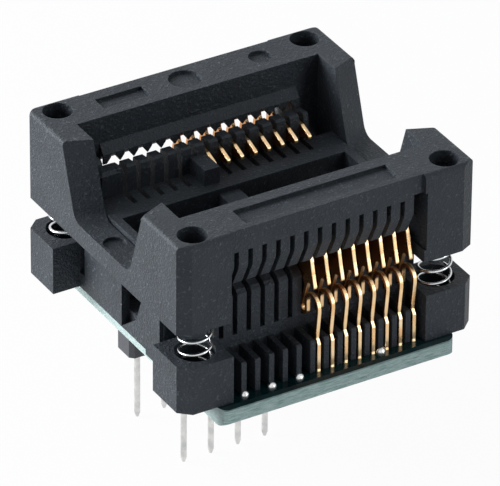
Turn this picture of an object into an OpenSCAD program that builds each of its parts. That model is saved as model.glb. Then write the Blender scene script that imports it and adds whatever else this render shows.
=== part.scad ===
// Open-top test socket for a 28-lead small-outline IC, on a dual-in-line adapter board.
// The cover is pressed down on four coil springs, and its slotted ribs roll the contacts open.
// Millimetres. Origin: centre of the eight-pin field, on the plane the pin strips seat on. +Z up.

/* [Rows of contacts] */
// Pitch of the contact positions
pitch = 1.27; // [1.2:0.01:1.5]
// Half width of the nest, to the inner faces of the combs
nest_hy = 5.68; // [5:0.02:7]
// Thickness of the contact sheet
contact_t = 0.32; // [0.2:0.02:0.38]
// Width of the spring strip that a contact is bent from
strip_w = 0.36; // [0.24:0.02:0.44]
// Clearance on each side of a contact in its slot
slot_gap = 0.05; // [0.02:0.01:0.1]

/* [Cover] */
// Height of the cover, from the feet of its posts to its top
cover_h = 8.15; // [7.95:0.05:9]
// Length of the corner posts, along the rows
post_l = 4.7; // [4.5:0.1:5.5]
// Thickness of the end walls
end_wall = 2.35; // [2.1:0.05:2.6]
// Travel of the cover when it is pressed
travel = 2.5; // [1.6:0.1:2.8]
// Gap left between the posts and the base when the cover is pressed
press_gap = 0.41; // [0.2:0.05:0.8]
// Corner chamfer of the posts, along the rows
post_cx = 1.1; // [0.6:0.1:1.4]
// Corner chamfer of the posts, across the rows
post_cy = 0.55; // [0.3:0.05:0.7]
// Radius of the cover's top edges
edge_r = 0.4; // [0.2:0.05:0.6]
// Radius of the blind holes in the cover's top corners
corner_r = 1.25; // [0.8:0.05:1.3]
// Depth of the corner holes
corner_d = 2.6; // [1.5:0.1:2.8]
// Depth of the side notches, below the cover's top
notch_d = 6.4; // [5:0.1:6.6]
// Half width of the side notches at the top, on the inner face
notch_hy = 5.2; // [4.6:0.1:5.4]
// Angle of the notch's sides, seen from above
notch_flare = 23; // [10:1:25]
// Depth of the shallow recesses in the top and in a notch's floor
recess_d = 0.3; // [0.1:0.05:0.5]

/* [Base] */
// Height of the corner blocks
block_h = 4.31; // [4.1:0.05:4.8]
// Height of the ledge that the IC's leads rest on
ledge_h = 9.37; // [9:0.05:9.6]
// Height of the inner combs above the ledge
comb_rise = 2.38; // [1.6:0.02:2.5]
// Height of the outer comb's ribs
guard_h = 2.97; // [2:0.05:3.4]
// Width of the outer comb's ribs
guard_w = 0.47; // [0.3:0.01:0.5]
// Half width of the open well under the IC's body
well_hy = 2.4; // [2.05:0.05:3]
// Thickness of the base's floor
floor_t = 1.4; // [1.35:0.05:2]

/* [Springs] */
// Outer radius of the springs
spring_r = 1.45; // [1.25:0.05:1.55]
// Radius of the spring wire
wire_r = 0.125; // [0.08:0.005:0.15]
// Rise of a spring for each turn
coil_pitch = 1.17; // [0.9:0.01:1.4]
// Depth of the spring pockets in the base
pocket_d = 2.5; // [1.8:0.1:3]
// Depth of the spring bores in the cover
bore_d = 3.4; // [2.5:0.1:4]

/* [Board and pins] */
// Thickness of the board
board_t = 1.6; // [0.8:0.1:2.4]
// Overhang of the board beyond the base, across the rows
board_margin = 0.66; // [0.5:0.02:1.5]
// Corner radius of the board
board_r = 0.8; // [0.3:0.1:1.5]
// Reach of the board to the left of the socket's middle
board_left = 10.42; // [10.2:0.02:11.4]
// Reach of the board to the right of the socket's middle
board_right = 11.46; // [10.6:0.02:12]
// Width of the bevel left along the board's score lines
score_w = 0.4; // [0.1:0.02:0.6]
// Depth of that bevel
score_d = 0.14; // [0.06:0.02:0.3]
// Height of the pin strips
strip_h = 2.9; // [2:0.1:4]
// Depth of a pin strip, across the row
strip_d = 2.5; // [2:0.1:3]
// Pitch of the pins in a row
pin_pitch = 2.54; // [2.4:0.01:2.6]
// Distance between the two rows of pins
row_gap = 7.62; // [6:0.01:9]
// Radius of a pin
pin_r = 0.25; // [0.2:0.01:0.32]
// Length of a pin below its strip, with its tip
pin_l = 6.6; // [4:0.1:8]
// Radius of the turned collar that holds a pin in its strip
collar_r = 0.65; // [0.45:0.05:0.75]

/* [Hidden] */
// Counts that the socket's type and its nodes' names depend on
positions = 14;
first_fitted = 7;
row_pins = 4;

plastic = "#2b2f33";
board_colour = "#1d4a4c";
gold = "#d9b777";
steel = "#d8dadb";
tin = "#b9bcbd";
$fn = 48;
// Overlap of fused shapes, overshoot of cuts, and a length past the whole part
eps = 0.02;
past = 1;
big = 60;

// Along the rows, from the socket's middle
field_hx = (positions - 1) / 2 * pitch;
post_gap = 0.645;
post_x = field_hx + post_gap;
cover_hx = post_x + post_l;
open_hx = cover_hx - end_wall;
body_hx = open_hx - 0.1;
pad_x = body_hx + 0.35;
well_hx = body_hx - 0.75;
spring_in = 2.2;
corner_in = [2.04, 1.56];
spring_x = post_x + spring_in;
corner_x = cover_hx - corner_in[0];
slot_w = contact_t + 2 * slot_gap;

// Across the rows, from the socket's middle
lead_room = 2.52;
ridge_w = 3.83;
ridge_step = 0.37;
guard_out = 0.22;
block_out = 0.43;
tail_in = 0.23;
open_hy = nest_hy + lead_room;
ridge_hy = open_hy + ridge_w;
cover_hy = ridge_hy + ridge_step;
corner_y = cover_hy - corner_in[1];
guard_y = ridge_hy + guard_out;
block_y = open_hy - 0.05;
block_hy = cover_hy + block_out;
spring_y = (block_y + block_hy) / 2;
board_hy = block_hy + board_margin;
tail_y = guard_y - tail_in;

// Heights above the seating plane
board_z0 = strip_h;
board_z1 = board_z0 + board_t;
block_z = board_z1 + block_h;
foot_z = block_z + press_gap + travel;
top_z = foot_z + cover_h;
comb_h = ledge_h + comb_rise;

// The socket's middle stands beside the pin field's middle
grid_x = (row_pins - 1) * pin_pitch / 2;
socket_x = field_hx - grid_x;

function pos_x(i) = (i - (positions + 1) / 2) * pitch;
function grid_pin_x(k) = (k - 1) * pin_pitch - grid_x;

// Points of a round stretch about the centre c, from angle a0 to a1
function arc(c, r, a0, a1, steps = 8) =
    [for (k = [0 : steps]) let (a = a0 + (a1 - a0) * k / steps) c + r * [cos(a), sin(a)]];

// The two sides of a strip of width w that follows the points p
function unit(v) = v / norm(v);
function side_normal(a, b) = let (d = unit(b - a)) [-d[1], d[0]];
function corner_normal(p, k) =
    k == 0 ? side_normal(p[0], p[1]) :
    k == len(p) - 1 ? side_normal(p[k - 1], p[k]) :
    let (n1 = side_normal(p[k - 1], p[k]), n2 = side_normal(p[k], p[k + 1]), m = unit(n1 + n2))
    m / (m * n1);
function left_side(p, w) = [for (k = [0 : len(p) - 1]) p[k] + corner_normal(p, k) * w / 2];
function right_side(p, w) = [for (k = [len(p) - 1 : -1 : 0]) p[k] - corner_normal(p, k) * w / 2];

// Extrudes a profile drawn in [outward, up] along X, on the side s = -1 (front) or 1 (rear)
module across(s, x0, x1) {
    translate([x0, 0, 0]) mirror([0, s < 0 ? 1 : 0, 0])
        rotate([90, 0, 90]) linear_extrude(height = x1 - x0) children();
}

// Each corner in turn, as a mirrored copy of the rear right one
module four_corners() {
    for (mx = [0, 1], my = [0, 1]) mirror([mx, 0, 0]) mirror([0, my, 0]) children();
}

module spring_places() { four_corners() translate([spring_x, spring_y, 0]) children(); }

// ---------------------------------------------------------------- contact
// Profile in [outward from the inner comb's face, height above the board]: a tail, a spring
// bent over and back, then a stiff head with the nose for the IC's lead and the lever
// that the cover's slot pushes outwards.
tail_out = tail_y - nest_hy;
loop_r = 0.875;
hook_r = 0.405;
loop_c = [tail_out - loop_r, 5.6];
hook_c = [loop_c[0] - loop_r - hook_r, 4.72];
spring_path = concat(
    [[tail_out, -board_t - 0.5], [tail_out, 2.4], [tail_out - 0.3, 2.85], [tail_out, 5.4]],
    arc(loop_c, loop_r, 0, 180, 10),
    arc(hook_c, hook_r, 0, -180, 8),
    [[4.46, 6.78]]);
head = concat(
    // underside, from the neck to the nose
    [[4.04, 7.42], [2.59, 7.92], [1.72, 8.36], [0.92, 9], [0.27, 9.6], [-0.33, 9.88]],
    // nose
    arc([-1.08, 10.3], 0.3, -80, -250, 6),
    // top of the arm, down to the crook and up the lever
    [[-0.08, 10.95], [0.7, 11.03]], arc([1.15, 9.03], 2, 85, 50, 4), [[3.3, 9.8]],
    arc([4.05, 9.95], 0.5, -130, -10, 5),
    arc([4.75, 11.1], 0.17, 180, 10, 5),
    // outer edge of the lever, down to the heel
    [[5.01, 10.17], [5.25, 9.5], [5.51, 8.43]],
    arc([5.58, 7.38], 0.24, 20, -90, 5),
    [[5.3, 7.4], [5.02, 7.46], [4.82, 7.32]]);
contact_outline = concat(left_side(spring_path, strip_w), head, right_side(spring_path, strip_w));

module contact(s, i) {
    color(gold) translate([socket_x, 0, board_z1])
        across(s, pos_x(i) - contact_t / 2, pos_x(i) + contact_t / 2)
            translate([nest_hy, 0]) polygon(contact_outline);
}

// ---------------------------------------------------------------- cover
// Section of the long walls in [outward from the opening, height above the top]: flat outer
// face, ribs that lean inwards to a round foot, and a sloping underside
rib_bend_r = 1.6;
rib_bend_c = [ridge_w - rib_bend_r, -3.1];
rib_foot_r = 0.42;
rib_foot_c = [ridge_w - 1.28, -5.2];
rib_lean = 24;
rib_section = concat(
    [[0, 0], [ridge_w, 0]],
    arc(rib_bend_c, rib_bend_r, 0, -rib_lean, 5),
    arc(rib_foot_c, rib_foot_r, -rib_lean, -140, 7),
    [[1.4, -4.6], [0.7, -4], [0, -3.6]]);
// Lip along the inner foot of the long walls. The slots' mouths widen through it, so that it
// ends in a row of points
lip_out = 0.6;
lip_t = 0.14;
lip_z = -4.1;
lip_point = 0.08;
mouth_z = -3.58;
lip_section = [[eps, -2.4], [-lip_out, -3.25], [-lip_out, lip_z], [lip_t - lip_out, lip_z],
    [lip_t - lip_out, -3.4], [eps, -3.6]];
mouth = [[-slot_w / 2, mouth_z], [slot_w / 2, mouth_z], [(pitch - lip_point) / 2, lip_z],
    [(pitch - lip_point) / 2, lip_z - past], [(lip_point - pitch) / 2, lip_z - past],
    [(lip_point - pitch) / 2, lip_z]];
// What a contact's slot and the wider end slots cut away, with their ceilings
slot_cut = [[-1, -3.33], [0.15, -3.33], [1.1, -3.1], [2.9, -2.03], [5, -2.03], [5, -7], [-1, -7]];
end_cut = [[0, -3.33], [1.1, -2.9], [2.7, -1.7], [5, -1.7], [5, -7], [0, -7]];
end_slot_w = 1.05;
end_slot_x = field_hx + 0.32;

// Shallow recesses in the top: [x, outward from the opening, size x, size y] and rounds
front_recess = [-7.08, 1.1, 14.03, 2.13];
rear_recess = [-8.13, 1.1, 4.31, 1.58];
rear_rounds = [[-0.18, 1.9, 1.38], [6.92, 1.98, 0.97]];
notch_round_r = 0.95;

// A box's outline with its top edges rounded
module rounded_top(half) {
    polygon(concat([[-half, foot_z], [half, foot_z]],
        arc([half - edge_r, top_z - edge_r], edge_r, 0, 90),
        arc([edge_r - half, top_z - edge_r], edge_r, 90, 180)));
}

module cover_blank() {
    intersection() {
        translate([0, 0, foot_z]) linear_extrude(height = cover_h) polygon([
            [cover_hx, cover_hy - post_cy], [cover_hx - post_cx, cover_hy],
            [post_cx - cover_hx, cover_hy], [-cover_hx, cover_hy - post_cy],
            [-cover_hx, post_cy - cover_hy], [post_cx - cover_hx, -cover_hy],
            [cover_hx - post_cx, -cover_hy], [cover_hx, post_cy - cover_hy]]);
        translate([0, big / 2, 0]) rotate([90, 0, 0]) linear_extrude(height = big)
            rounded_top(cover_hx);
        across(1, -big / 2, big / 2) rounded_top(cover_hy);
    }
}

// What is cut from a long wall's block to leave the rib section
module outside_of_ribs() {
    difference() {
        translate([0, -cover_h - past]) square([cover_hy - open_hy + past, cover_h + 2 * past]);
        polygon(rib_section);
    }
}

// One half of a side notch. Its side leans back with height and opens outwards, and its
// floor's corner is rounded
notch_floor_hy = 1.9;
module notch_half() {
    floor_z = top_z - notch_d;
    bend_r = 1.2;
    bend_c = [notch_floor_hy, floor_z + bend_r];
    translate([open_hx - 1.5, 0, 0]) rotate([0, 0, notch_flare])
        rotate([90, 0, 90]) linear_extrude(height = 6)
            scale([cos(notch_flare), 1]) polygon(concat(
                [[-notch_floor_hy, floor_z]], arc(bend_c, bend_r, -90, -20, 5),
                [[notch_hy - 0.35, top_z], [notch_hy, top_z + past],
                 [-notch_floor_hy, top_z + past]]));
}

// The cover's outline with the opening over the nest, and the lips in it
module open_blank() {
    difference() {
        cover_blank();
        translate([-open_hx, -open_hy, foot_z - past])
            cube([2 * open_hx, 2 * open_hy, cover_h + 2 * past]);
    }
    for (s = [-1, 1]) across(s, -post_x - 0.3, post_x + 0.3)
        translate([open_hy, top_z]) polygon(lip_section);
}

module cover_shell() {
    difference() {
        open_blank();
        for (turn = [0, 180], i = [1 : positions]) rotate([0, 0, turn])
            translate([pos_x(i), open_hy - eps, top_z]) rotate([90, 0, 0])
                linear_extrude(height = 1) polygon(mouth);
        for (s = [-1, 1]) {
            across(s, -post_x, post_x) translate([open_hy, top_z]) outside_of_ribs();
            for (i = [1 : positions])
                across(s, pos_x(i) - slot_w / 2, pos_x(i) + slot_w / 2)
                    translate([open_hy, top_z]) polygon(slot_cut);
        }
        // wider slots beyond the last position, at opposite corners
        for (turn = [0, 180]) rotate([0, 0, turn])
            across(-1, end_slot_x - end_slot_w / 2, end_slot_x + end_slot_w / 2)
                translate([open_hy, top_z]) polygon(end_cut);
        four_corners() notch_half();
        // round recess in the left notch's floor
        translate([end_wall / 2 - cover_hx, 0, top_z - notch_d - recess_d])
            cylinder(r = notch_round_r, h = notch_d);
        // blind holes in the top corners, and the springs' bores below them
        four_corners() {
            translate([corner_x, corner_y, top_z - corner_d])
                cylinder(r = corner_r, h = corner_d + past);
            translate([spring_x, spring_y, foot_z - past])
                cylinder(r = spring_r + 0.08, h = bore_d + past);
        }
        translate([front_recess[0], -open_hy - front_recess[1] - front_recess[3], top_z - recess_d])
            cube([front_recess[2], front_recess[3], past]);
        translate([rear_recess[0], open_hy + rear_recess[1], top_z - recess_d])
            cube([rear_recess[2], rear_recess[3], past]);
        for (p = rear_rounds) translate([p[0], open_hy + p[1], top_z - recess_d])
            cylinder(r = p[2], h = past);
    }
}

peg_r = spring_r - 2 * wire_r - 0.15;
peg_l = 1.1;
module cover() {
    color(plastic) translate([socket_x, 0, 0]) union() {
        cover_shell();
        // pegs that stand inside the springs
        spring_places() translate([0, 0, foot_z - peg_l])
            cylinder(r = peg_r, h = peg_l + bore_d + eps);
    }
}

// ---------------------------------------------------------------- base
shoulder_h = 7.97;
end_wall_rear = nest_hy + 1.62;
end_wall_front = nest_hy - 0.12;
block_cx = 1;
block_cy = 0.91;
bridge_x0 = -1.4;
bridge_x1 = 0.45;
stop_hy = [3.3, nest_hy + 0.3];
stop_top = 10.87;
pad_w = 2.26;
pad_h = 4.6;
pin_relief_hy = 0.9;
pin_relief_h = 1.2;

// Window in an end wall, in [across the rows, height above the board]
window = [[1.2, -1], [1.2, 5.9], [-2.05, 5.9], [-2.05, 4.27], [-1.2, 1.97], [1.15, 0.12],
    [1.15, -1]];
// Section of the inner comb in [outward from the nest, height above the board]
comb_section = [[-1, 0], [4.02, 0], [4.02, shoulder_h - 0.3], [3.72, shoulder_h],
    [2.67, shoulder_h + 0.35], [1.75, shoulder_h + 0.6], [1.52, comb_h - 1.1],
    [1.35, comb_h - 0.15], [0.35, comb_h], [0.1, comb_h - 0.12], [0, comb_h - 0.6],
    [0, ledge_h - 1], [-1, ledge_h - 1]];
// Slot through the inner comb, stepped down outwards
slot_section = [[-1.7, ledge_h - 0.75], [-1.3, ledge_h - 0.95], [0, ledge_h - 1.1], [1, 7.1],
    [2.42, 6.4], [3.32, 4], [5.02, 4], [5.02, comb_h + 1], [-1.7, comb_h + 1]];

module corner_block() {
    linear_extrude(height = block_h) polygon([
        [post_x, block_y], [cover_hx, block_y], [cover_hx, block_hy - block_cy],
        [cover_hx - block_cx, block_hy], [post_x, block_hy]]);
}

module base_solid() {
    // floor, and the middle of the body up to the lead ledge
    translate([-body_hx, -spring_y, 0]) cube([2 * body_hx, 2 * spring_y, floor_t]);
    translate([-body_hx, -nest_hy - eps, 0])
        cube([2 * body_hx, 2 * (nest_hy + eps), ledge_h]);
    // end walls with their guide pads, each longer towards one corner
    for (turn = [0, 180]) rotate([0, 0, turn]) {
        translate([-body_hx, -end_wall_front, 0])
            cube([body_hx - post_x + 0.6, end_wall_front + end_wall_rear, ledge_h]);
        translate([-pad_x, -end_wall_front, 0]) cube([pad_x - post_x, pad_w, pad_h]);
    }
    four_corners() corner_block();
    for (s = [-1, 1]) {
        across(s, -post_x, post_x) translate([nest_hy, 0]) polygon(comb_section);
        // ribs of the outer comb
        for (i = [1 : positions - 1])
            across(s, pos_x(i + 0.5) - guard_w / 2, pos_x(i + 0.5) + guard_w / 2)
                polygon([[nest_hy, 0], [guard_y, 0], [guard_y, guard_h - 0.12],
                    [guard_y - 0.12, guard_h], [nest_hy, guard_h]]);
    }
}

// Stop on the rear ledge beside the first fitted contact. It closes the empty slot next to it
module ledge_stop() {
    x1 = pos_x(first_fitted) - slot_w / 2;
    x0 = pos_x(first_fitted - 1) - slot_w / 2 - 0.14;
    translate([x0, stop_hy[0], ledge_h - eps])
        cube([x1 - x0, stop_hy[1] - stop_hy[0], stop_top - ledge_h + eps]);
}

module base() {
    color(plastic) translate([socket_x, 0, board_z1]) union() {
        slotted_base();
        ledge_stop();
    }
}

module slotted_base() {
    difference() {
        base_solid();
        for (s = [-1, 1], i = [1 : positions])
            across(s, pos_x(i) - slot_w / 2, pos_x(i) + slot_w / 2)
                translate([nest_hy, 0]) polygon(slot_section);
        // open well under the IC, with a lower bridge left across it
        translate([-well_hx, -well_hy, floor_t])
            cube([well_hx + bridge_x0, 2 * well_hy, ledge_h]);
        translate([bridge_x1, -well_hy, floor_t])
            cube([well_hx - bridge_x1, 2 * well_hy, ledge_h]);
        translate([bridge_x0 - past, -well_hy, ledge_h - 0.5])
            cube([bridge_x1 - bridge_x0 + 2 * past, 2 * well_hy, past]);
        // windows in the end walls
        for (turn = [0, 180]) rotate([0, 0, turn])
            across(1, -body_hx - past, eps - well_hx) polygon(window);
        spring_places() translate([0, 0, block_h - pocket_d])
            cylinder(r = spring_r + 0.21, h = pocket_d + past);
        // relief under the floor for the soldered heads of the pins
        for (s = [-1, 1])
            translate([-field_hx - past, s * row_gap / 2 - pin_relief_hy, -past])
                cube([2 * grid_x + 2 * past, 2 * pin_relief_hy, past + pin_relief_h]);
    }
}

// ---------------------------------------------------------------- springs
coil_sides = 12;
wire_sides = 5;
spring_z0 = block_z - pocket_d;
spring_z1 = foot_z + bore_d;

// Helix swept as one closed tube, from the pocket's floor to the bore's roof
module spring(sx, sy) {
    rise = spring_z1 - spring_z0 - 2 * wire_r;
    turns = rise / coil_pitch;
    n = ceil(turns * coil_sides);
    rings = [for (k = [0 : n]) let (a = 360 * turns * k / n)
        [for (j = [0 : wire_sides - 1]) let (b = 360 * j / wire_sides,
            r = spring_r - wire_r + wire_r * cos(b))
            [r * cos(a), r * sin(a), spring_z0 + wire_r + rise * k / n + wire_r * sin(b)]]];
    last = n * wire_sides;
    faces = concat(
        [[for (j = [0 : wire_sides - 1]) j], [for (j = [wire_sides - 1 : -1 : 0]) last + j]],
        [for (k = [0 : n - 1], j = [0 : wire_sides - 1])
            let (a = k * wire_sides + j, b = k * wire_sides + (j + 1) % wire_sides)
            each [[a, a + wire_sides, b + wire_sides], [a, b + wire_sides, b]]]);
    color(steel) translate([socket_x + sx * spring_x, sy * spring_y, 0])
        rotate([0, 0, sx > 0 ? 300 : 200])
            polyhedron(points = [for (ring = rings) each ring], faces = faces);
}

// ---------------------------------------------------------------- board, strips, pins
pin_hole_r = pin_r + 0.2;
tail_hole_r = 0.36;
dome_r = 0.42;
strip_c = 0.35;
pin_top = 0.8;
pin_tip_l = 0.4;
pin_tip_r = 0.12;

module pin_places() {
    for (s = [-1, 1], k = [1 : row_pins])
        translate([grid_pin_x(k), s * row_gap / 2, 0]) children();
}
module tail_places() {
    for (s = [-1, 1], i = [first_fitted : positions])
        translate([socket_x + pos_x(i), s * tail_y, 0]) children();
}

module circuit_board() {
    x0 = board_r - board_left;
    x1 = board_right - board_r;
    cy = board_hy - board_r;
    color(board_colour) difference() {
        translate([socket_x, 0, board_z0]) linear_extrude(height = board_t) polygon(concat(
            arc([x1, cy], board_r, 0, 90), arc([x0, cy], board_r, 90, 180),
            arc([x0, -cy], board_r, 180, 270), arc([x1, -cy], board_r, 270, 360)));
        // bevels left by the score lines along the front and rear
        for (s = [-1, 1], up = [0, 1])
            translate([socket_x, 0, up ? board_z1 : board_z0]) mirror([0, 0, up])
                across(s, -big / 2, big / 2) polygon([[board_hy - score_w, 0],
                    [board_hy, score_d], [board_hy + past, score_d], [board_hy + past, -past],
                    [board_hy - score_w, -past]]);
        pin_places() translate([0, 0, board_z0 - past])
            cylinder(r = pin_hole_r, h = board_t + 2 * past);
        tail_places() translate([0, 0, board_z0 - past])
            cylinder(r = tail_hole_r, h = board_t + 2 * past);
    }
}

module header_strip(s) {
    hx = row_pins * pin_pitch / 2;
    hy = strip_d / 2;
    color(plastic) translate([0, s * row_gap / 2, 0]) difference() {
        linear_extrude(height = strip_h) polygon([
            [-hx, strip_c - hy], [strip_c - hx, -hy], [hx - strip_c, -hy], [hx, strip_c - hy],
            [hx, hy - strip_c], [hx - strip_c, hy], [strip_c - hx, hy], [-hx, hy - strip_c]]);
        for (k = [1 : row_pins]) translate([grid_pin_x(k), 0, -past])
            cylinder(r = collar_r, h = strip_h + 2 * past);
    }
}

// Turned pin: a pointed tail below the strip, a collar in it, and a thin top through the board
module header_pin(s, k) {
    color(tin) translate([grid_pin_x(k), s * row_gap / 2, 0]) rotate_extrude() polygon([
        [0, -pin_l], [pin_tip_r, -pin_l], [pin_r, pin_tip_l - pin_l], [pin_r, 0], [collar_r, 0],
        [collar_r, strip_h], [pin_r, strip_h], [pin_r, board_z1 + pin_top],
        [0, board_z1 + pin_top]]);
}

// Solder: a filled hole and cone at each pin and each contact tail, and the half domes on the
// test points, against the feet of the outer comb's ribs
module solder_joints() {
    color(tin) {
        pin_places() difference() {
            union() {
                translate([0, 0, board_z0]) cylinder(r = pin_hole_r, h = board_t);
                translate([0, 0, board_z1]) cylinder(r1 = pin_hole_r + 0.2, r2 = pin_r + 0.05, h = 0.5);
            }
            translate([0, 0, board_z0 - past]) cylinder(r = pin_r, h = board_t + 3 * past);
        }
        tail_places() difference() {
            union() {
                translate([0, 0, board_z0]) cylinder(r = tail_hole_r, h = board_t);
                translate([0, 0, board_z0 - 0.4]) cylinder(r1 = 0.26, r2 = 0.55, h = 0.4);
            }
            translate([-contact_t / 2, -strip_w / 2, board_z0 - past])
                cube([contact_t, strip_w, board_t + 2 * past]);
        }
        for (turn = [0, 180], i = [1, 3, 5, 11])
            translate([socket_x, 0, board_z1]) rotate([0, 0, turn])
                translate([pos_x(i + 0.5), -guard_y - eps, 0]) intersection() {
                    sphere(r = dome_r, $fn = 24);
                    translate([-past, -2 * past, 0]) cube(2 * past);
                }
    }
}

base();
cover();
circuit_board();
header_strip(-1);  // header_strip_front
header_strip(1);  // header_strip_rear
solder_joints();
spring(-1, -1);  // spring_fl
spring(1, -1);  // spring_fr
spring(-1, 1);  // spring_rl
spring(1, 1);  // spring_rr
for (k = [1 : row_pins]) {
    header_pin(-1, k);
    header_pin(1, k);
}
for (i = [first_fitted : positions]) {
    contact(-1, i);
    contact(1, i);
}
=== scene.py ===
"""Looks of an open-top test socket for small-outline ICs on its pin adapter board.

The moulded base and cover, the pin strips, the pins, the solder and the board keep their own
solids and get a finish here. The springs and the stamped contacts are drawn afresh as smooth
surfaces, because wire and stamped sheet have rounder forms than their solids. Concave cones are
laid over the solder, and cheeks at the ends of the inner combs are drawn here only. All sizes
are in metres and come from the frame, or are written here in millimetres times MM.
"""

import math

import bmesh
import bpy
import numpy as np
from mathutils import Matrix, Vector


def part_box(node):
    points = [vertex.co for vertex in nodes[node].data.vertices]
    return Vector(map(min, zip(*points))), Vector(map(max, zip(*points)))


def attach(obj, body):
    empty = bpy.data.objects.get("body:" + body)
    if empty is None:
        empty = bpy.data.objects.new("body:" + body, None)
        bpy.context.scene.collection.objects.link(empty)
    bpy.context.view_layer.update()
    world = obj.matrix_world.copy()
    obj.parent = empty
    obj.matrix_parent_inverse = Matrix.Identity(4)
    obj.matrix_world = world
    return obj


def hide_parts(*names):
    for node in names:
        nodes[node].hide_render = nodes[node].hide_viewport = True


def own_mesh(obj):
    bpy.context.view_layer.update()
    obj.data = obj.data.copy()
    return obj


MM = 0.001
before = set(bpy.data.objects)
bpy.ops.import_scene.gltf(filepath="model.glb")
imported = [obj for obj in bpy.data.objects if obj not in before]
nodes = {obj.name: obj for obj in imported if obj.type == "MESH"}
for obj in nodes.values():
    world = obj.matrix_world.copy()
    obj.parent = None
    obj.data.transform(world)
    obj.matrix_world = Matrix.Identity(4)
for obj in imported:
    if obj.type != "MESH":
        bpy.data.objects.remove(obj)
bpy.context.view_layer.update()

# ---------------------------------------------------------------- places, from the frame
board_low, board_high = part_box("circuit_board")
cover_low, cover_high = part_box("cover")
base_low, base_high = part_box("base")
socket_x = (cover_low.x + cover_high.x) / 2
board_top = board_high.z
board_under = board_low.z
cover_top = cover_high.z
pin_low, pin_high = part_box("header_pin_front_1")

SPRINGS = ("spring_fl", "spring_fr", "spring_rl", "spring_rr")
PINS = [f"header_pin_{row}_{k}" for row in ("front", "rear") for k in range(1, 5)]
CONTACTS = [f"contact_{row}_{i}" for row in ("front", "rear") for i in range(7, 15)]


# ---------------------------------------------------------------- materials
def colour(hex_value):
    """An sRGB hex colour as linear RGBA: the two-part sRGB curve, undone."""
    parts = [int(hex_value[k : k + 2], 16) / 255 for k in (1, 3, 5)]
    linear = [c / 12.92 if c <= 0.04045 else ((c + 0.055) / 1.055) ** 2.4 for c in parts]
    return (*linear, 1.0)


def new_material(name):
    """An empty node material with its output and a Principled shader joined to it."""
    material = bpy.data.materials.new(name)
    material.use_nodes = True
    tree = material.node_tree
    tree.nodes.clear()
    output = tree.nodes.new("ShaderNodeOutputMaterial")
    shader = tree.nodes.new("ShaderNodeBsdfPrincipled")
    tree.links.new(shader.outputs["BSDF"], output.inputs["Surface"])
    return material, tree, shader


def add(tree, kind, settings=None, **inputs):
    """A node of that kind. Settings are its attributes, and inputs are sockets by name or
    number (i0, i1 ...), each a value or another node's output to link."""
    node = tree.nodes.new(kind)
    for key, value in (settings or {}).items():
        setattr(node, key, value)
    for key, value in inputs.items():
        numbered = key[0] == "i" and key[1:].isdigit()
        socket = node.inputs[int(key[1:])] if numbered else node.inputs[key.replace("_", " ")]
        if isinstance(value, bpy.types.NodeSocket):
            tree.links.new(value, socket)
        else:
            socket.default_value = value
    return node


def ramp(tree, factor, stops):
    """A colour ramp over (position, hex colour) stops."""
    node = add(tree, "ShaderNodeValToRGB", i0=factor)
    band = node.color_ramp
    while len(band.elements) < len(stops):
        band.elements.new(0.5)
    for element, (position, hex_value) in zip(band.elements, stops):
        element.position = position
        element.color = colour(hex_value)
    return node.outputs["Color"]


def mix(tree, factor, a, b, blend_type="MIX"):
    """Colour a turned towards colour b by the factor."""
    node = add(tree, "ShaderNodeMix", {"data_type": "RGBA", "blend_type": blend_type}, i0=factor)
    for socket, value in ((node.inputs[6], a), (node.inputs[7], b)):
        if isinstance(value, bpy.types.NodeSocket):
            tree.links.new(value, socket)
        else:
            socket.default_value = value
    return node.outputs[2]


def maths(tree, operation, *values, clamp=False):
    """One arithmetic step over values or sockets."""
    node = add(tree, "ShaderNodeMath", {"operation": operation, "use_clamp": clamp})
    for k, value in enumerate(values):
        if isinstance(value, bpy.types.NodeSocket):
            tree.links.new(value, node.inputs[k])
        else:
            node.inputs[k].default_value = value
    return node.outputs[0]


def place(tree):
    """Object coordinates, which are the part's own metres on every piece."""
    return add(tree, "ShaderNodeTexCoord").outputs["Object"]


def axes_of(tree, vector):
    """The three parts of a vector, as sockets named X, Y and Z."""
    return add(tree, "ShaderNodeSeparateXYZ", Vector=vector).outputs


def facing(tree):
    """The three parts of the surface's normal, which say which way a face looks."""
    return axes_of(tree, add(tree, "ShaderNodeNewGeometry").outputs["Normal"])


def stretched(tree, vector, scale):
    """Coordinates multiplied by a scale for each axis, so that a pattern's grains grow long
    where the scale is small."""
    return add(tree, "ShaderNodeMapping", Vector=vector, Scale=scale).outputs[0]


def spread(tree, value, low, high):
    """A value from 0 to 1, spread evenly over low to high."""
    return add(tree, "ShaderNodeMapRange", Value=value, i3=low, i4=high).outputs[0]


def noise(tree, vector, size, detail=3.0, roughness=0.55):
    """Noise whose grains are about that many metres across."""
    node = add(tree, "ShaderNodeTexNoise", Vector=vector, Scale=1 / size, Detail=detail,
               Roughness=roughness)
    return node.outputs["Fac"]


def bump(tree, height, distance, strength, normal=None):
    """A bump of that height in metres, on top of another normal where one is given."""
    node = add(tree, "ShaderNodeBump", Height=height, Distance=distance, Strength=strength)
    if normal is not None:
        tree.links.new(normal, node.inputs["Normal"])
    return node.outputs["Normal"]


def rounded_edges(tree, radius):
    """The normal of edges eased by that radius, as every moulded or stamped edge is."""
    return add(tree, "ShaderNodeBevel", {"samples": 6}, Radius=radius).outputs["Normal"]


def band(tree, value, centre, half):
    """1 where the value lies within half of the centre, with a soft side, and 0 elsewhere."""
    off = maths(tree, "ABSOLUTE", maths(tree, "SUBTRACT", value, centre))
    return maths(tree, "SUBTRACT", 1.0, maths(tree, "DIVIDE", off, half), clamp=True)


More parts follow.
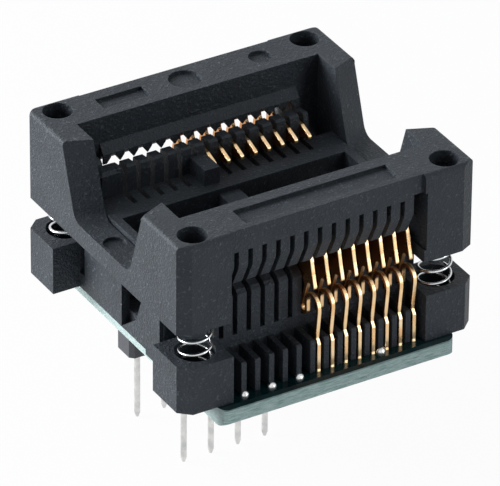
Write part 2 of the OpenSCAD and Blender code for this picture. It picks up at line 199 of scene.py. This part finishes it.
def spark_textured_polyethersulfone():
    """Glass-filled PES, injection-moulded in a spark-eroded mould: slate black, with an even
    grain that scatters light and greys the faces that catch it at a glance. Lighter grey is
    painted on the grain's crests as painted highlights, the glints of light they catch. The grain
    is the mean of two noises, of 0.34 mm and 0.18 mm. The real one is about 0.06 mm, too fine to
    show. Thin witness lines of the mould's inserts run across the tops of the long walls."""
    material, tree, shader = new_material("spark_textured_polyethersulfone")
    at = place(tree)
    fine = noise(tree, at, 0.18 * MM, 2.0, 0.6)
    coarse = noise(tree, at, 0.34 * MM, 2.0, 0.6)
    grain = maths(tree, "MULTIPLY", maths(tree, "ADD", fine, coarse), 0.5)
    clouds = noise(tree, at, 2.6 * MM, 4.0)
    fibres = noise(tree, stretched(tree, at, (1, 5, 1)), 0.3 * MM, 3.0)
    tone = ramp(tree, clouds, [(0.3, "#272b31"), (0.7, "#31363c")])
    tone = mix(tree, maths(tree, "MULTIPLY", fibres, 0.25), tone, colour("#3e444b"))
    # painted highlights: the grain's crests are lightened towards grey, as glints of light off the
    # texture
    crests = maths(tree, "SUBTRACT", grain, 0.56, clamp=True)
    painted_crest_highlight = maths(tree, "MULTIPLY", crests, 3.5, clamp=True)
    tone = mix(tree, painted_crest_highlight, tone, colour("#78828b"))
    insert_half, line_half = 8.8 * MM, 0.045 * MM
    spot = axes_of(tree, at)
    line = maths(tree, "MAXIMUM", band(tree, spot["X"], socket_x - insert_half, line_half),
                 band(tree, spot["X"], socket_x + insert_half, line_half))
    high = maths(tree, "GREATER_THAN", spot["Z"], cover_top - 0.05 * MM)
    level = maths(tree, "GREATER_THAN", facing(tree)["Z"], 0.9)
    line = maths(tree, "MULTIPLY", maths(tree, "MULTIPLY", line, high), level)
    tone = mix(tree, maths(tree, "MULTIPLY", line, 0.7), tone, colour("#15181b"))
    tree.links.new(tone, shader.inputs["Base Color"])
    eased = rounded_edges(tree, 0.07 * MM)
    normal = bump(tree, grain, 0.2 * MM, 0.85, bump(tree, clouds, 0.1 * MM, 0.2, eased))
    groove = maths(tree, "MULTIPLY", line, -1.0)
    tree.links.new(bump(tree, groove, 0.03 * MM, 0.3, normal), shader.inputs["Normal"])
    tree.links.new(spread(tree, grain, 0.44, 0.6), shader.inputs["Roughness"])
    shader.inputs["IOR"].default_value = 1.65
    shader.inputs["Specular IOR Level"].default_value = 0.18
    shader.inputs["Specular Tint"].default_value = (0.86, 0.94, 0.98, 1.0)
    return material


def satin_polyester_strip():
    """Glass-filled polyester of the pin strips: moulded in a polished tool, so smoother and a
    little bluer than the socket, with faint flow marks."""
    material, tree, shader = new_material("satin_polyester_strip")
    at = place(tree)
    flow = noise(tree, stretched(tree, at, (0.4, 1, 2)), 0.8 * MM, 4.0)
    grain = noise(tree, at, 0.08 * MM, 2.0)
    tone = ramp(tree, flow, [(0.3, "#32353c"), (0.7, "#3e4149")])
    tree.links.new(tone, shader.inputs["Base Color"])
    normal = bump(tree, grain, 0.008 * MM, 0.4, rounded_edges(tree, 0.06 * MM))
    tree.links.new(bump(tree, flow, 0.03 * MM, 0.15, normal), shader.inputs["Normal"])
    tree.links.new(spread(tree, flow, 0.34, 0.5), shader.inputs["Roughness"])
    shader.inputs["IOR"].default_value = 1.57
    return material


def gold_flashed_beryllium_copper():
    """Stamped beryllium copper with a thin gold flash, finely scored: pale cream gold on the
    sheared edges, and a darker, redder copper on the two broad rolled faces, which is painted
    shade, the dark these faces show in their slots."""
    material, tree, shader = new_material("gold_flashed_beryllium_copper")
    at = place(tree)
    score = noise(tree, stretched(tree, at, (0.25, 2.5, 2.5)), 0.12 * MM, 3.0)
    stain = noise(tree, at, 1.3 * MM, 4.0)
    tone = ramp(tree, stain, [(0.3, "#e2b27c"), (0.5, "#efcb9a"), (0.75, "#f6dfb8")])
    # painted shade: the two broad side faces are darkened to a redder copper, for the dark they
    # mirror in their slots
    painted_side_shade = maths(tree, "GREATER_THAN", maths(tree, "ABSOLUTE", facing(tree)["X"]), 0.85)
    tone = mix(tree, painted_side_shade, tone, colour("#cf9158"))
    tree.links.new(tone, shader.inputs["Base Color"])
    shader.inputs["Metallic"].default_value = 1.0
    tree.links.new(spread(tree, stain, 0.2, 0.38), shader.inputs["Roughness"])
    tree.links.new(bump(tree, score, 0.006 * MM, 0.5), shader.inputs["Normal"])
    return material


def drawn_spring_steel():
    """Drawn stainless wire: bright silver with fine die lines along the wire, which here run
    round it as small ripples in the gloss."""
    material, tree, shader = new_material("drawn_spring_steel")
    at = place(tree)
    drawn = noise(tree, at, 0.06 * MM, 3.0)
    patches = noise(tree, at, 0.9 * MM, 3.0)
    tone = ramp(tree, patches, [(0.3, "#c3c7ca"), (0.7, "#e6e8ea")])
    tree.links.new(tone, shader.inputs["Base Color"])
    shader.inputs["Metallic"].default_value = 1.0
    tree.links.new(spread(tree, drawn, 0.14, 0.32), shader.inputs["Roughness"])
    tree.links.new(bump(tree, drawn, 0.003 * MM, 0.3), shader.inputs["Normal"])
    return material


def matt_tin_plate():
    """Matt tin over turned brass: pale warm grey with fine rings left by the lathe."""
    material, tree, shader = new_material("matt_tin_plate")
    at = place(tree)
    rings = noise(tree, stretched(tree, at, (0.3, 0.3, 4)), 0.25 * MM, 3.0)
    bloom = noise(tree, at, 0.7 * MM, 4.0)
    tone = ramp(tree, bloom, [(0.3, "#bcbdbe"), (0.7, "#dededb")])
    tree.links.new(tone, shader.inputs["Base Color"])
    shader.inputs["Metallic"].default_value = 1.0
    tree.links.new(spread(tree, bloom, 0.3, 0.46), shader.inputs["Roughness"])
    tree.links.new(bump(tree, rings, 0.006 * MM, 0.5), shader.inputs["Normal"])
    return material


def bright_tin_solder():
    """Wave-soldered tin alloy: bright and wet-looking, with a faint frost between grains."""
    material, tree, shader = new_material("bright_tin_solder")
    at = place(tree)
    frost = noise(tree, at, 0.2 * MM, 3.0)
    tone = ramp(tree, frost, [(0.35, "#b9bcbd"), (0.65, "#e3e4e4")])
    tree.links.new(tone, shader.inputs["Base Color"])
    shader.inputs["Metallic"].default_value = 1.0
    tree.links.new(spread(tree, frost, 0.12, 0.34), shader.inputs["Roughness"])
    tree.links.new(bump(tree, frost, 0.01 * MM, 0.35), shader.inputs["Normal"])
    return material


def solder_mask_on_glass_laminate():
    """Teal solder mask over woven glass laminate. The two faces are glossy mask with the weave
    just showing. The scored long edges show a light bevel, a thin dark line, and then the
    broken laminate, pale blue-green with torn glass bundles. The short edges are routed, and
    more even."""
    material, tree, shader = new_material("solder_mask_on_glass_laminate")
    at = place(tree)
    looks = facing(tree)
    up = maths(tree, "ABSOLUTE", looks["Z"])
    endways = maths(tree, "ABSOLUTE", looks["X"])
    flat = maths(tree, "GREATER_THAN", up, 0.9)
    weave = add(tree, "ShaderNodeTexWave", {"wave_type": "BANDS", "bands_direction": "DIAGONAL"},
                Vector=at, Scale=1 / (6.0 * MM), Distortion=1.5, Detail=1.0).outputs["Fac"]
    cloud = noise(tree, at, 1.6 * MM, 3.0)
    mask = ramp(tree, cloud, [(0.3, "#0c282d"), (0.7, "#13383d")])
    # broken laminate: bundles of glass lying along the edge, in ragged rows
    bundles = noise(tree, stretched(tree, at, (0.3, 1, 3)), 0.32 * MM, 5.0, 0.65)
    core = ramp(tree, bundles, [(0.32, "#7da09d"), (0.45, "#a3c3c0"), (0.56, "#bcd6d3"),
                                (0.72, "#d4e6e4")])
    # darker in a thin band 0.2 mm under the board's top, along the scored edges
    dark_line_under_bevel = band(tree, axes_of(tree, at)["Z"], board_top - 0.2 * MM, 0.1 * MM)
    core = mix(tree, maths(tree, "MULTIPLY", dark_line_under_bevel, 0.75), core, colour("#2f4a52"))
    routed = ramp(tree, bundles, [(0.3, "#8ea3a2"), (0.6, "#b0c4c3")])
    core = mix(tree, maths(tree, "GREATER_THAN", endways, 0.6), core, routed)
    tone = mix(tree, flat, core, mask)
    bevel = maths(tree, "MULTIPLY", maths(tree, "GREATER_THAN", up, 0.4),
                  maths(tree, "LESS_THAN", up, 0.9))
    tone = mix(tree, bevel, tone, colour("#a4c0c4"))
    tree.links.new(tone, shader.inputs["Base Color"])
    tree.links.new(spread(tree, flat, 0.75, 0.22), shader.inputs["Roughness"])
    torn = maths(tree, "MULTIPLY", bundles, maths(tree, "SUBTRACT", 1.0, flat))
    knit = maths(tree, "MULTIPLY", weave, maths(tree, "MULTIPLY", flat, 0.08))
    relief = bump(tree, maths(tree, "ADD", torn, knit), 0.12 * MM, 0.8)
    tree.links.new(relief, shader.inputs["Normal"])
    return material


# ---------------------------------------------------------------- surfaces
def mesh_from(name, points, faces, smooth=True):
    """A mesh object from an array of points and a list of faces."""
    mesh = bpy.data.meshes.new(name)
    mesh.from_pydata(points.tolist(), [], faces)
    mesh.validate()
    mesh.polygons.foreach_set("use_smooth", [smooth] * len(mesh.polygons))
    obj = bpy.data.objects.new(name, mesh)
    bpy.context.scene.collection.objects.link(obj)
    return obj


def grid_faces(rows, columns, closed_rows=False, closed_columns=False):
    """Four-sided faces between neighbours of a grid of points stored row by row."""
    r = np.arange(rows if closed_rows else rows - 1)
    c = np.arange(columns if closed_columns else columns - 1)
    i, j = np.meshgrid(r, c, indexing="ij")
    i2, j2 = (i + 1) % rows, (j + 1) % columns
    quads = np.stack([i * columns + j, i2 * columns + j, i2 * columns + j2, i * columns + j2], -1)
    return quads.reshape(-1, 4).tolist()


def arc(centre, radius, start, end, steps):
    """Points on a circle about the centre, from the start angle to the end angle, in degrees."""
    a = np.radians(np.linspace(start, end, steps + 1))
    return np.stack([centre[0] + radius * np.cos(a), centre[1] + radius * np.sin(a)], 1)


def coil(name, centre, low, high, radius, wire, pitch, start, closed_turns=1.0):
    """A spring's wire: a circle of the wire's radius, carried along a helix. Its rise per turn
    eases from the wire's own thickness over the closed end turns to the pitch between them, so
    height is the running sum of the rise, and the two ends are flat rounds."""
    active = max((high - low - 2 * wire * (1 + 2 * closed_turns)) / pitch, 1.0)
    turns = active + 2 * closed_turns
    steps = int(turns * 40)
    t = np.linspace(0, turns, steps + 1)
    ease = np.clip(np.minimum(t, turns - t) / closed_turns - 0.5, 0, 1)
    rise = 2 * wire + (pitch - 2 * wire) * ease * ease * (3 - 2 * ease)
    z = np.concatenate([[0], np.cumsum((rise[1:] + rise[:-1]) / 2 * np.diff(t))])
    z = low + wire + z / z[-1] * (high - low - 2 * wire)
    angle = np.radians(start) + 2 * np.pi * t
    out = np.stack([np.cos(angle), np.sin(angle), np.zeros_like(t)], 1)
    path = np.stack([centre[0] + radius * out[:, 0], centre[1] + radius * out[:, 1], z], 1)
    along = np.gradient(path, axis=0)
    along /= np.linalg.norm(along, axis=1, keepdims=True)
    side = np.cross(along, out)
    ring = np.linspace(0, 2 * np.pi, 12, endpoint=False)
    points = (path[:, None] + wire * (np.cos(ring)[None, :, None] * out[:, None]
                                      + np.sin(ring)[None, :, None] * side[:, None]))
    count = len(ring)
    faces = grid_faces(len(path), count, closed_columns=True)
    faces = [f[::-1] for f in faces]
    faces.append(list(range(count)))
    faces.append([steps * count + j for j in range(count - 1, -1, -1)])
    return mesh_from(name, points.reshape(-1, 3), faces)


def lathe(name, centres, profile, sides=24):
    """Rounds of revolution: a profile of (radius, height) turned about each upright centre
    line. A radius of 0 closes an end."""
    profile = np.asarray(profile, float)
    a = np.linspace(0, 2 * np.pi, sides, endpoint=False)
    turned = np.stack([profile[:, 0, None] * np.cos(a), profile[:, 0, None] * np.sin(a),
                       np.broadcast_to(profile[:, 1, None], (len(profile), sides))], -1)
    one = grid_faces(len(profile), sides, closed_columns=True)
    points, faces = [], []
    for centre in centres:
        shift = len(points) * len(profile) * sides
        points.append(turned + np.asarray(centre, float))
        faces += [[v + shift for v in f] for f in one]
    obj = mesh_from(name, np.concatenate(points).reshape(-1, 3), faces)
    weld(obj)
    return obj


def weld(obj, distance=1e-7):
    """Joins points that lie on one another and turns the faces outwards."""
    work = bmesh.new()
    work.from_mesh(obj.data)
    bmesh.ops.remove_doubles(work, verts=work.verts, dist=distance)
    bmesh.ops.recalc_face_normals(work, faces=work.faces)
    work.to_mesh(obj.data)
    work.free()


def offset(outline, distance):
    """A closed outline moved sideways by a small distance, along the mean of its two edges'
    normals at each point. Positive goes inwards where the outline runs anticlockwise."""
    ahead = np.roll(outline, -1, 0) - outline
    ahead /= np.linalg.norm(ahead, axis=1, keepdims=True)
    both = ahead + np.roll(ahead, 1, 0)
    both /= np.linalg.norm(both, axis=1, keepdims=True)
    return outline + distance * np.stack([-both[:, 1], both[:, 0]], 1)


def stamped(name, outline, x0, x1, ease):
    """A flat stamping: an outline in the plane across the rows, given a thickness from x0 to
    x1, whose two rims are eased by a small chamfer. Each rim is the outline moved inwards."""
    y, z = outline.T
    twice_area = np.sum(y * np.roll(z, -1) - np.roll(y, -1) * z)
    if twice_area < 0:
        outline = outline[::-1]
    inner = offset(outline, ease)
    rings = [(x0, inner), (x0 + ease, outline), (x1 - ease, outline), (x1, inner)]
    points = np.concatenate([np.column_stack([np.full(len(p), x), p]) for x, p in rings])
    count = len(outline)
    faces = grid_faces(4, count, closed_columns=True)
    faces.append(list(range(count - 1, -1, -1)))
    faces.append([3 * count + j for j in range(count)])
    obj = mesh_from(name, points, faces, smooth=False)
    weld(obj)
    return obj


# ---------------------------------------------------------------- springs
def make_springs(finish):
    """Each spring fills its solid's box, and its wire's and coils' sizes are the solid's."""
    wire, pitch, travel = 0.125 * MM, 1.17 * MM, 2.5 * MM
    for name in SPRINGS:
        low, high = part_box(name)
        centre = ((low.x + high.x) / 2, (low.y + high.y) / 2)
        radius = (high.x - low.x) / 2 - wire
        start = 300 if centre[0] > socket_x else 200
        piece = coil(f"{name}_wire", centre, low.z, high.z, radius, wire, pitch, start)
        piece.data.materials.append(finish)
        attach(piece, "socket_body")
        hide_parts(name)
        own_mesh(piece)


# ---------------------------------------------------------------- contacts
def contact_outline(comb_face, guard_face):
    """Outline of a contact in millimetres, (outward, height above the board). The spring strip
    is a path of straight runs and arcs, moved half a width to each side. The head closes it."""
    tail = guard_face - 0.23 - comb_face
    loop, hook = 0.875, 0.405
    path = np.concatenate([
        [(tail, -2.1), (tail, 2.4), (tail - 0.3, 2.85), (tail, 5.4)],
        arc((tail - loop, 5.6), loop, 0, 180, 22),
        arc((tail - 2 * loop - hook, 4.72), hook, 0, -180, 16), [(4.46, 6.78)]])
    width = 0.36
    step = np.gradient(path, axis=0)
    step /= np.linalg.norm(step, axis=1, keepdims=True)
    aside = np.stack([-step[:, 1], step[:, 0]], 1) * width / 2
    head = np.concatenate([
        [(4.04, 7.42), (2.59, 7.92), (1.72, 8.36), (0.92, 9), (0.27, 9.6), (-0.33, 9.88)],
        arc((-1.08, 10.3), 0.3, -80, -250, 12),
        [(-0.08, 10.95), (0.7, 11.03)], arc((1.15, 9.03), 2, 85, 50, 8), [(3.3, 9.8)],
        arc((4.05, 9.95), 0.5, -130, -10, 10), arc((4.75, 11.1), 0.17, 180, 10, 10),
        [(5.01, 10.17), (5.25, 9.5), (5.51, 8.43)], arc((5.58, 7.38), 0.24, 20, -90, 8),
        [(5.3, 7.4), (5.02, 7.46), (4.82, 7.32)]])
    return np.concatenate([path + aside, head, (path - aside)[::-1]])


def make_contacts(finish):
    """Sixteen stampings. Each stands where its solid does."""
    comb_face, guard_face = 5.68, 12.25
    outline = contact_outline(comb_face, guard_face)
    for name in CONTACTS:
        low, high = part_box(name)
        side = -1 if "front" in name else 1
        outward = (outline[:, 0] + comb_face) * MM
        shape = np.stack([side * outward, outline[:, 1] * MM + board_top], 1)
        piece = stamped(f"{name}_stamping", shape, low.x, high.x, 0.04 * MM)
        piece.data.materials.append(finish)
        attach(piece, "socket_body")
        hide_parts(name)
        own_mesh(piece)


# ---------------------------------------------------------------- comb ends
def make_comb_ends(finish):
    """A moulded cheek beside the outermost tooth of each inner comb, on the shoulder that holds
    it, with a taller guide at its outer end. Each is a block with eased rims, whose outline is
    given as (outward, height above the board)."""
    for part, near, far, top in (("cheek", 8.6, 10.9, 11.68), ("guide", 10.3, 10.98, 12.95)):
        profile = np.array([(5.7, 9.3), (7.35, 9.3), (7.35, 10.4), (6.95, top), (5.95, top),
                            (5.7, top - 0.28)]) * MM
        for row, side in (("rear", 1), ("front", -1)):
            ends = sorted((socket_x - side * far * MM, socket_x - side * near * MM))
            shape = np.stack([side * profile[:, 0], profile[:, 1] + board_top], 1)
            piece = stamped(f"comb_{part}_{row}", shape, *ends, 0.08 * MM)
            piece.data.materials.append(finish)
            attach(piece, "socket_body")


# ---------------------------------------------------------------- solder
def make_solder(finish):
    """Solder wets each pin and tail in a concave cone: its radius falls off with height as a
    quarter of a circle. The cones lie over the joints' own solids, which stay."""
    pin_centres = []
    for name in PINS:
        low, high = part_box(name)
        pin_centres.append(((low.x + high.x) / 2, (low.y + high.y) / 2, board_top))
    a = np.radians(np.linspace(0, 90, 8))
    fillet = np.stack([0.68 - 0.4 * np.sin(a), 0.5 * (1 - np.cos(a))], 1) * MM
    pins = lathe("pin_solder", pin_centres,
                 np.concatenate([[(0.2 * MM, -0.1 * MM), (0.68 * MM, -0.1 * MM)], fillet,
                                 [(0.2 * MM, 0.5 * MM)]]))
    tails = []
    for name in CONTACTS:
        low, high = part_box(name)
        y = high.y if "rear" in name else low.y
        tails.append(((low.x + high.x) / 2, y - math.copysign(0.41 * MM, y), board_under))
    cone = np.stack([0.56 - 0.36 * np.sin(a), -0.42 * (1 - np.cos(a))], 1) * MM
    under = lathe("tail_solder", tails,
                  np.concatenate([[(0, 0.1 * MM), (0.56 * MM, 0.1 * MM)], cone, [(0, -0.42 * MM)]]))
    return pins, under


# ---------------------------------------------------------------- room, lights, camera
def sees_white(tree):
    """1 for rays that show the background: the camera's own, and those that metal mirrors or
    glass lets through. It is the greatest of the three."""
    rays = add(tree, "ShaderNodeLightPath").outputs
    mirrored = maths(tree, "MAXIMUM", rays["Is Glossy Ray"], rays["Is Transmission Ray"])
    return maths(tree, "MAXIMUM", rays["Is Camera Ray"], mirrored)


def make_room():
    """A pale floor under the pins' tips. The camera sees it white, and it keeps a faint shadow."""
    mesh = bpy.data.meshes.new("floor")
    reach = 2.0
    mesh.from_pydata([(x, y, pin_low.z - 0.02 * MM) for x, y in
                      ((-reach, -reach), (reach, -reach), (reach, reach), (-reach, reach))],
                     [], [(0, 1, 2, 3)])
    floor = bpy.data.objects.new("floor", mesh)
    bpy.context.scene.collection.objects.link(floor)
    material = bpy.data.materials.new("pale_matt_paper")
    material.use_nodes = True
    tree = material.node_tree
    tree.nodes.clear()
    paper = add(tree, "ShaderNodeBsdfDiffuse", Color=colour("#cacbce"))
    white = add(tree, "ShaderNodeEmission", Color=(1, 1, 1, 1), Strength=1.0)
    both = add(tree, "ShaderNodeMixShader", i0=maths(tree, "MULTIPLY", sees_white(tree), 0.96),
               i1=paper.outputs[0], i2=white.outputs[0])
    add(tree, "ShaderNodeOutputMaterial", Surface=both.outputs[0])
    floor.data.materials.append(material)


def make_world():
    """A dim room with one wide pale wall, behind and to the left. The wall's brightness falls
    off with the angle from its middle, as a smooth step of that angle's cosine."""
    world = bpy.data.worlds.new("studio")
    bpy.context.scene.world = world
    world.use_nodes = True
    tree = world.node_tree
    tree.nodes.clear()
    wall = Vector((-0.35, 0.9, 0.25)).normalized()
    cosine = add(tree, "ShaderNodeVectorMath", {"operation": "DOT_PRODUCT"},
                 i0=add(tree, "ShaderNodeTexCoord").outputs["Generated"], i1=wall).outputs["Value"]
    lit = add(tree, "ShaderNodeMapRange", {"interpolation_type": "SMOOTHSTEP"}, Value=cosine,
              i1=0.05, i2=0.75, i3=0.055, i4=1.0).outputs[0]
    strength = maths(tree, "MAXIMUM", sees_white(tree), lit)
    back = add(tree, "ShaderNodeBackground", Color=(1, 1, 1, 1), Strength=strength)
    add(tree, "ShaderNodeOutputWorld", Surface=back.outputs[0])


def lamp(name, towards, distance, size, power):
    """A soft box at that distance from the socket's middle, in the direction given, facing it."""
    light = bpy.data.lights.new(name, "AREA")
    light.shape = "RECTANGLE"
    light.size, light.size_y = size
    light.energy = power
    obj = bpy.data.objects.new(name, light)
    bpy.context.scene.collection.objects.link(obj)
    middle = Vector((socket_x, 0, (board_top + cover_top) / 2))
    direction = Vector(towards).normalized()
    obj.location = middle + direction * distance
    obj.rotation_euler = direction.to_track_quat("Z", "Y").to_euler()


def make_lights():
    """The main soft box stands low behind and to the left, and a small one in front on the
    right gives the metal its glints."""
    lamp("rear_left_box", (-1.0, 0.75, 0.42), 0.35, (0.24, 0.2), 2.25)
    lamp("front_box", (0.6, -1.0, 0.25), 0.4, (0.12, 0.3), 0.45)


def make_camera():
    """A long lens, looking down on the left front corner. It stands on a line of the view's
    azimuth and elevation, aimed a little below the middle of the cover's top."""
    azimuth, elevation, roll = math.radians(-30.68), math.radians(32.11), math.radians(0.5)
    distance, drop = 519.44 * MM, 8.68 * MM
    back = Vector((math.sin(azimuth) * math.cos(elevation),
                   -math.cos(azimuth) * math.cos(elevation), math.sin(elevation)))
    right = Vector((0, 0, 1)).cross(back).normalized()
    up = back.cross(right)
    turned_right = right * math.cos(roll) + up * math.sin(roll)
    turned_up = up * math.cos(roll) - right * math.sin(roll)
    aim = Vector((socket_x, 0, cover_top)) - turned_up * drop
    data = bpy.data.cameras.new("camera")
    data.sensor_width = 36.0
    data.lens = 468.0
    data.clip_start, data.clip_end = 0.01, 20.0
    camera = bpy.data.objects.new("camera", data)
    bpy.context.scene.collection.objects.link(camera)
    axes = Matrix((turned_right, turned_up, back)).transposed()
    camera.matrix_world = Matrix.Translation(aim + back * distance) @ axes.to_4x4()
    bpy.context.scene.camera = camera


# ---------------------------------------------------------------- the whole
def finish_nodes(names, finish):
    """Gives solids of the frame their finish, in their own material slots."""
    for name in names:
        slots = nodes[name].material_slots
        if len(slots) == 0:
            nodes[name].data.materials.append(finish)
        for place_in_list in slots:
            place_in_list.material = finish


plastic = spark_textured_polyethersulfone()
finish_nodes(("base", "cover"), plastic)
make_comb_ends(plastic)
finish_nodes(("header_strip_front", "header_strip_rear"), satin_polyester_strip())
finish_nodes(PINS, matt_tin_plate())
finish_nodes(("circuit_board",), solder_mask_on_glass_laminate())
solder = bright_tin_solder()
finish_nodes(("solder_joints",), solder)
make_springs(drawn_spring_steel())
make_contacts(gold_flashed_beryllium_copper())
for piece in make_solder(solder):
    piece.data.materials.append(solder)
    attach(piece, "socket_body")

make_room()
make_world()
make_lights()
make_camera()
bpy.context.scene.view_settings.view_transform = "Standard"
